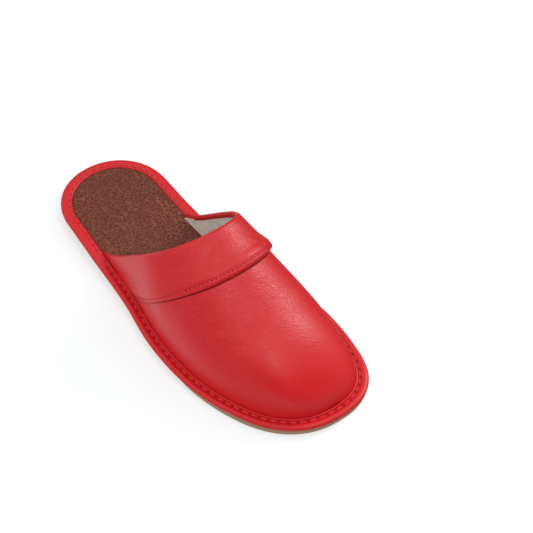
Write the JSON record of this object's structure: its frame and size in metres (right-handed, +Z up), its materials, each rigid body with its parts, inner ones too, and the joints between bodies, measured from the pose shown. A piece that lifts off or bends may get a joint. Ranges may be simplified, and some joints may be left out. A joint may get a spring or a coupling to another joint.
{
  "type": "house slipper",
  "caption": "Leather mule slipper for the right foot, open at the heel, with a turned-down cuff, a padded footbed and a stitched edge strip on a low rubber sole.",
  "frame": {"origin": "middle of the slipper's footprint on the floor", "axes": "+Z up, +Y from heel to toe, +X towards the outer (little toe) side of the right foot"},
  "size_m": [0.1058, 0.265, 0.08],
  "materials": {
    "sole_rubber": "matt tan rubber",
    "strip_leather": "smooth red leather, semi-gloss",
    "footbed_leather": "brown pebbled leather, satin",
    "upper_leather": "red fine-grained leather, semi-gloss",
    "cuff_leather": "red fine-grained leather, semi-gloss",
    "lining_felt": "off-white felt",
    "seam_thread": "red sewing thread"
  },
  "bodies": {
    "root": {"outsole": "sole_rubber", "binding": "strip_leather", "insole": "footbed_leather", "upper": "upper_leather", "cuff": "cuff_leather"}
  },
  "joints": []
}
